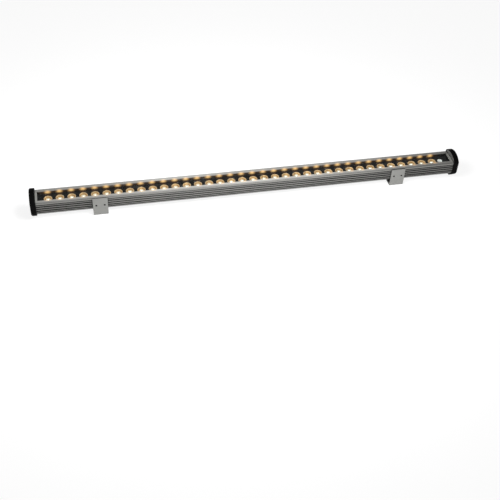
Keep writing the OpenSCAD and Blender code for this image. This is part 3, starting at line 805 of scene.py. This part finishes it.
class RowTree:
    """Geometry Nodes that set copies of a piece along the LED row, and rings of them if asked."""

    def __init__(self) -> None:
        """Builds the tree."""
        net, given, out = new_group("along_the_row", "GeometryNodeTree", {
            "Piece": ("NodeSocketObject", None), "First": ("NodeSocketVector", None),
            "Pitch": ("NodeSocketFloat", 0.02), "Count": ("NodeSocketInt", 2),
            "Round": ("NodeSocketInt", 1), "Ring radius": ("NodeSocketFloat", 0.0),
            "Start angle": ("NodeSocketFloat", 0.0),
            "Finish": ("NodeSocketMaterial", None)}, {"Geometry": "NodeSocketGeometry"})
        piece = net.add("GeometryNodeObjectInfo", {"Object": given.outputs["Piece"]})
        spokes = net.add("GeometryNodeMeshLine", {"Count": given.outputs["Round"],
                                                  "Offset": (0.0, 0.0, 0.0)}, mode="OFFSET")
        number = net.add("GeometryNodeInputIndex").outputs[0]
        turn = net.math("DIVIDE", net.product(number, 2.0 * math.pi), given.outputs["Round"])
        angle = net.math("ADD", turn, given.outputs["Start angle"])
        turned = net.add("ShaderNodeCombineXYZ", {2: angle})
        spin = net.add("FunctionNodeEulerToRotation", {0: turned.outputs[0]})
        shift = net.add("ShaderNodeCombineXYZ", {0: given.outputs["Ring radius"]})
        moved = net.add("GeometryNodeTransform", {"Geometry": piece.outputs["Geometry"],
                                                  "Translation": shift.outputs[0]})
        ring = net.add("GeometryNodeInstanceOnPoints", {
            "Points": spokes.outputs[0], "Instance": moved.outputs[0],
            "Rotation": spin.outputs[0]})
        step = net.add("ShaderNodeCombineXYZ", {0: given.outputs["Pitch"]})
        line = net.add("GeometryNodeMeshLine", {
            "Count": given.outputs["Count"], "Start Location": given.outputs["First"],
            "Offset": step.outputs[0]}, mode="OFFSET")
        row = net.add("GeometryNodeInstanceOnPoints", {
            "Points": line.outputs[0], "Instance": ring.outputs[0]})
        real = net.add("GeometryNodeRealizeInstances", {0: row.outputs[0]})
        done = net.add("GeometryNodeSetMaterial", {"Geometry": real.outputs[0],
                                                   "Material": given.outputs["Finish"]})
        net.fill(out, {0: done.outputs[0]})
        self.tree = net.tree

    def bake(self, name: str, values: dict[str, object]) -> bpy.types.Object:
        """Runs the tree and keeps its result as a plain mesh.

        Args:
            name: The new piece's name.
            values: The tree's inputs, by name.

        Returns:
            The new piece, in the scene, with no modifier.
        """
        holder = bpy.data.objects.new(name + "_tree", bpy.data.meshes.new(name + "_tree"))
        bpy.context.scene.collection.objects.link(holder)
        modifier = holder.modifiers.new("row", "NODES")
        modifier.node_group = self.tree
        for item in self.tree.interface.items_tree:
            if item.in_out == "INPUT" and item.name in values:
                modifier[item.identifier] = values[item.name]
        bpy.context.view_layer.update()
        ready = holder.evaluated_get(bpy.context.evaluated_depsgraph_get())
        data = bpy.data.meshes.new_from_object(ready)
        data.name = name
        holder.modifiers.remove(modifier)
        bpy.data.objects.remove(holder)
        piece = bpy.data.objects.new(name, data)
        bpy.context.scene.collection.objects.link(piece)
        return piece


@dataclass
class LampBody:
    """The extrusion, its end plates, strips and gaskets."""

    palette: Palette

    def dress(self) -> None:
        """Gives each node its finish."""
        self.palette.dress("housing", "extrusion_satin")
        for side in Side:
            self.palette.dress(f"end_strip_{side.value}", "strip_satin")
            self.palette.dress(f"end_plate_{side.value}", "trim_satin")
            self.palette.dress(f"end_gasket_{side.value}", "gasket_rubber_soft")
        LOG.info("body dressed")


@dataclass
class Window:
    """The glass and the seal that it lies on."""

    palette: Palette

    def dress(self) -> None:
        """Gives each node its finish."""
        self.palette.dress("cover_glass", "window_glass_clear")
        self.palette.dress("glass_seal", "seal_rubber_soft")
        LOG.info("window dressed")


@dataclass
class EndCaps:
    """The caps, their screws and the cable bushing."""

    palette: Palette

    def dress(self) -> None:
        """Gives each node its finish."""
        for side in Side:
            self.palette.dress(f"end_cap_{side.value}", "cap_moulded")
            self.palette.dress(f"end_screws_{side.value}", "screw_stainless")
        self.palette.dress("cable_bushing", "bushing_rubber_soft")
        LOG.info("caps dressed")


@dataclass
class LightRow:
    """The boards, LEDs, bowls and trays."""

    palette: Palette
    row: RowSizes
    tree: RowTree
    sides: int = 48
    steps: int = 12
    curve: float = 1.7
    mouth: float = 0.7 * MM
    rim_roll: float = 0.2 * MM
    rim_edge: float = 0.15 * MM
    rim_drop: float = 0.12 * MM
    hole_r: float = 2.95 * MM
    foot_wall: float = 0.9 * MM
    wall_end: float = 0.93
    roll_end: float = 0.97
    chip: Point = (3.45 * MM, 3.45 * MM, 0.7 * MM)
    chip_cut: float = 0.1 * MM
    dome_r: float = 1.3 * MM
    dome_sides: int = 20
    dome_rings: int = 5
    dome_flat: float = 0.75
    dome_sink: float = 0.05 * MM
    peg: Point = (1.5 * MM, 1.5 * MM, 1.3 * MM)
    peg_cut: float = 0.2 * MM
    peg_out: float = 1.25 * MM
    peg_apart: float = 4.2 * MM
    peg_sides: int = 2

    def dress(self) -> None:
        """Gives each node that stays its finish."""
        for part in ("left", "middle", "right"):
            self.palette.dress(f"led_board_{part}", "board_mask_white")
            self.palette.dress(f"lens_tray_{part}", "tray_moulded")
        self.palette.dress("board_links", "link_moulded")
        self.palette.dress("board_screws", "screw_stainless")
        self.palette.dress("lead_cap", "lead_cap_moulded")
        LOG.info("light row dressed")

    def _spread(self, name: str, piece: bpy.types.Object, z: float, finish: str,
                around: int = 1, ring_r: float = 0.0) -> bpy.types.Object:
        """Sets copies of a piece along the row.

        Args:
            name: The result's name.
            piece: The piece that is repeated.
            z: The height of the row's points.
            finish: The name of its material.
            around: How many copies stand round each LED.
            ring_r: How far they stand from its axis.

        Returns:
            The new mesh, riding on the lamp.
        """
        made = self.tree.bake(name, {
            "Piece": piece, "First": (self.row.first, 0.0, z), "Pitch": self.row.pitch,
            "Count": self.row.count, "Round": around, "Ring radius": ring_r,
            "Start angle": math.pi / 2, "Finish": self.palette.by_name[finish]})
        bpy.data.objects.remove(piece)
        for face in made.data.polygons:
            face.use_smooth = False
        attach(made, "lamp")
        LOG.info("%s: %d faces", name, len(made.data.polygons))
        return made

    def bowl(self) -> bpy.types.Object:
        """Makes one bowl, with its rim's top at height zero.

        Returns:
            The bowl, which isn't in the scene.
        """
        depth = self.row.rim - self.row.foot
        edge = self.row.rim_r
        mouth_r = edge - self.mouth
        led_rise = self.chip[2]
        loops = [Loop(self.hole_r, -depth, 0.0)]
        for i in range(self.steps + 1):
            t = i / self.steps
            climb = led_rise + (depth - self.rim_drop - led_rise) * t ** self.curve
            loops.append(Loop(self.hole_r + (mouth_r - self.hole_r) * t, climb - depth,
                              t * self.wall_end))
        thick = self.row.rim - self.row.deck
        loops += [Loop(mouth_r + self.rim_roll, 0.0, self.roll_end),
                  Loop(edge - self.rim_edge, 0.0, 1.0), Loop(edge, -self.rim_edge, 1.0),
                  Loop(edge, -thick, 1.0), Loop(mouth_r - self.mouth, -thick, 1.0),
                  Loop(self.hole_r + self.foot_wall, -depth, 0.3)]
        return turned_mesh("bowl", loops, self.sides)

    def dome(self) -> bpy.types.Object:
        """Makes one LED's silicone dome, with its base at height zero.

        Returns:
            The dome, which isn't in the scene.
        """
        points, faces = [], []
        rings, sides = self.dome_rings, self.dome_sides
        tall = self.dome_flat * self.dome_r
        for k in range(rings):
            a = math.radians(90.0 * k / rings)
            for i in range(sides):
                b = 2.0 * math.pi * i / sides
                points.append((self.dome_r * math.cos(a) * math.cos(b),
                               self.dome_r * math.cos(a) * math.sin(b), tall * math.sin(a)))
        points.append((0.0, 0.0, tall))
        for k in range(rings - 1):
            low, high = k * sides, (k + 1) * sides
            for i in range(sides):
                j = (i + 1) % sides
                faces.append((low + i, low + j, high + j, high + i))
        top = (rings - 1) * sides
        faces += [(top + i, top + (i + 1) % sides, len(points) - 1) for i in range(sides)]
        faces.append(tuple(reversed(range(sides))))
        return mesh_object("dome", points, faces)

    def block(self, name: str, size: Point, cut: float,
              apart: float = 0.0) -> bpy.types.Object:
        """Makes a block with chamfered upper edges on height zero, or two side by side.

        Args:
            name: The object's name.
            size: Its length, width and height.
            cut: The chamfer.
            apart: The distance between the middles of two blocks, or 0 for one block.

        Returns:
            The block or blocks, not yet in the scene.
        """
        a, b, h = size[0] / 2, size[1] / 2, size[2]
        points, faces = [], []
        for middle in ((-apart / 2, apart / 2) if apart else (0.0,)):
            start = len(points)
            for z, inset in ((0.0, 0.0), (h - cut, 0.0), (h, cut)):
                for u, v in ((-1, -1), (1, -1), (1, 1), (-1, 1)):
                    points.append((u * (a - inset), middle + v * (b - inset), z))
            rows = [(3, 2, 1, 0), (8, 9, 10, 11)]
            for k in (0, 4):
                for i in range(4):
                    j = (i + 1) % 4
                    rows.append((k + i, k + j, k + 4 + j, k + 4 + i))
            faces += [tuple(start + i for i in row) for row in rows]
        return mesh_object(name, points, faces)

    def build(self) -> None:
        """Makes the bowls, LEDs and pegs along the row."""
        bowls = self._spread("optic_bowls", self.bowl(), self.row.rim, "optic_bowl_gold")
        bowls.data.shade_smooth()
        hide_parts("led_optics")
        base = self.block("base", self.chip, self.chip_cut)
        bases = self._spread("led_bases", base, self.row.board, "led_base_lit")
        dome_z = self.row.board + self.chip[2] - self.dome_sink
        domes = self._spread("led_domes", self.dome(), dome_z, "led_phosphor_lit")
        domes.data.shade_smooth()
        for lit in (bases, domes):
            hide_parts("led_emitters")
        peg = self.block("peg", self.peg, self.peg_cut, self.peg_apart)
        pegs = self._spread("optic_pegs", peg, self.row.deck, "tray_moulded",
                            self.peg_sides, self.row.rim_r + self.peg_out)


@dataclass
class Drive:
    """The driver, its pads and its leads, all inside."""

    palette: Palette

    def dress(self) -> None:
        """Gives each node its finish."""
        self.palette.dress("driver_module", "driver_case_satin")
        self.palette.dress("driver_pads", "pad_foam_open")
        self.palette.dress("driver_leads", "lead_sleeve_smooth")
        LOG.info("driver dressed")


@dataclass
class Brackets:
    """The L brackets with their nuts and screws."""

    palette: Palette

    def dress(self) -> None:
        """Gives each node its finish."""
        for side in Side:
            self.palette.dress(f"bracket_{side.value}", "plate_blasted")
            self.palette.dress(f"slot_nut_{side.value}", "nut_zinc")
            self.palette.dress(f"clamp_screws_{side.value}", "screw_stainless")
        LOG.info("brackets dressed")


@dataclass
class Studio:
    """A pale floor, soft light and the photograph's camera.

    Each box is a name, a place, a side and a power, and hangs square to the bar. Each fill is
    a name, the direction that its light comes from, a spread in degrees and a power.
    """

    eye: Point = (-0.37708, -1.52543, 1.24314)
    yaw: float = 14.09
    pitch: float = 42.23
    roll: float = -3.20
    lens: float = 61.57
    film: float = 36.0
    clip: Span = (0.05, 50.0)
    room_light: float = 0.13
    boxes: tuple[tuple[str, Point, float, float], ...] = (
        ("softbox_key", (-0.07, -0.14, 0.50), 0.4, 7.1),
        ("softbox_low", (0.22, -0.38, 0.10), 0.2, 0.5),
    )
    fills: tuple[tuple[str, Point, float, float], ...] = (
        ("softbox_front", (-0.3, -0.8, 1.0), 60.0, 0.25),
        ("softbox_right", (1.0, -0.5, 0.8), 50.0, 0.15),
        ("softbox_rear", (1.0, 0.7, 0.35), 40.0, 0.35),
    )
    floor_half: float = 4.0
    floor_drop: float = 0.2 * MM
    paper: Span = (0.24, 0.26)
    paper_light: float = 0.86

    def camera(self) -> None:
        """Sets the camera where the photograph was taken from."""
        yaw, pitch, roll = (math.radians(v) for v in (self.yaw, self.pitch, self.roll))
        upward = Vector((0.0, 0.0, 1.0))
        level = Vector((math.sin(yaw), math.cos(yaw), 0.0))
        flat_right = Vector((math.cos(yaw), -math.sin(yaw), 0.0))
        ahead = math.cos(pitch) * level - math.sin(pitch) * upward
        flat_down = -(math.cos(pitch) * upward + math.sin(pitch) * level)
        right = math.cos(roll) * flat_right + math.sin(roll) * flat_down
        down = -math.sin(roll) * flat_right + math.cos(roll) * flat_down
        data = bpy.data.cameras.new("photo_camera")
        data.sensor_width, data.lens = self.film, self.lens
        data.clip_start, data.clip_end = self.clip
        camera = bpy.data.objects.new("photo_camera", data)
        bpy.context.scene.collection.objects.link(camera)
        turn = Matrix((right, -down, -ahead)).transposed().to_4x4()
        camera.matrix_world = Matrix.Translation(self.eye) @ turn
        bpy.context.scene.camera = camera

    def _lamp(self, name: str, kind: str, power: float, source: Vector) -> bpy.types.Object:
        """Adds one lamp.

        Args:
            name: Its name.
            kind: Its Blender type.
            power: Its energy.
            source: The direction that its light comes from.

        Returns:
            The lamp, at the origin.
        """
        data = bpy.data.lights.new(name, kind)
        data.energy = power
        lamp = bpy.data.objects.new(name, data)
        lamp.rotation_euler = source.to_track_quat("Z", "Y").to_euler()
        bpy.context.scene.collection.objects.link(lamp)
        return lamp

    def light(self) -> None:
        """Adds the soft lights and the pale surroundings."""
        for name, place, side, power in self.boxes:
            lamp = self._lamp(name, "AREA", power, Vector((0.0, *place[1:])))
            lamp.location = place
            lamp.data.size = side
            lamp.visible_camera = False
        for name, source, spread, power in self.fills:
            lamp = self._lamp(name, "SUN", power, Vector(source))
            lamp.data.angle = math.radians(spread)
        world = bpy.data.worlds.new("pale_room")
        world.use_nodes = True
        net = Net(world.node_tree)
        # The backdrop is white to the camera, and dimmer as a light
        seen = net.add("ShaderNodeLightPath").outputs["Is Camera Ray"]
        net.fill(world.node_tree.nodes["Background"], {
            0: WHITE, 1: net.ramp(seen, 0.0, 1.0, self.room_light, 1.0)})
        bpy.context.scene.world = world
        bpy.context.scene.view_settings.view_transform = "Standard"

    def floor(self) -> None:
        """Adds the pale floor just under the lamp."""
        h, z = self.floor_half, -self.floor_drop
        floor = mesh_object("floor", [(-h, -h, z), (h, -h, z), (h, h, z), (-h, h, z)],
                            [(0, 1, 2, 3)])
        bpy.context.scene.collection.objects.link(floor)
        made, net, shader = new_material("floor_paper")
        tooth = net.noise(net.object_place(), 300.0, 3.0)
        dark, light = ((tone,) * 3 for tone in self.paper)
        net.fill(shader, {"Base Color": net.mix(net.ramp(tooth, 0.3, 0.7), dark, light),
                          "Roughness": 0.8, "Specular IOR Level": 0.2,
                          "Emission Color": WHITE, "Emission Strength": self.paper_light})
        floor.data.materials.append(made)


def row_from_nodes(count: int = 36, deck_over_board: float = 4.0 * MM) -> RowSizes:
    """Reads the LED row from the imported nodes.

    Args:
        count: How many LEDs there are.
        deck_over_board: How far the deck of the trays is above the boards.

    Returns:
        The row's places and sizes.
    """
    low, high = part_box("led_optics")
    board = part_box("led_emitters")[0][2]
    rim_r = (high[1] - low[1]) / 2
    pitch = (high[0] - low[0] - 2 * rim_r) / (count - 1)
    return RowSizes(first=low[0] + rim_r, pitch=pitch, count=count, board=board,
                    deck=board + deck_over_board, rim=high[2], foot=low[2], rim_r=rim_r)


def main() -> None:
    logging.basicConfig(level=logging.INFO, format="%(name)s: %(message)s")
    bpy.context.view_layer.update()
    studio = Studio()
    studio.camera()
    studio.light()
    studio.floor()
    row = row_from_nodes()
    palette = Palette(SurfaceKit(), row)
    LampBody(palette).dress()
    Window(palette).dress()
    EndCaps(palette).dress()
    lights = LightRow(palette, row, RowTree())
    lights.dress()
    lights.build()
    Drive(palette).dress()
    Brackets(palette).dress()
    LOG.info("sizes written")


if __name__ == "__main__":
    main()
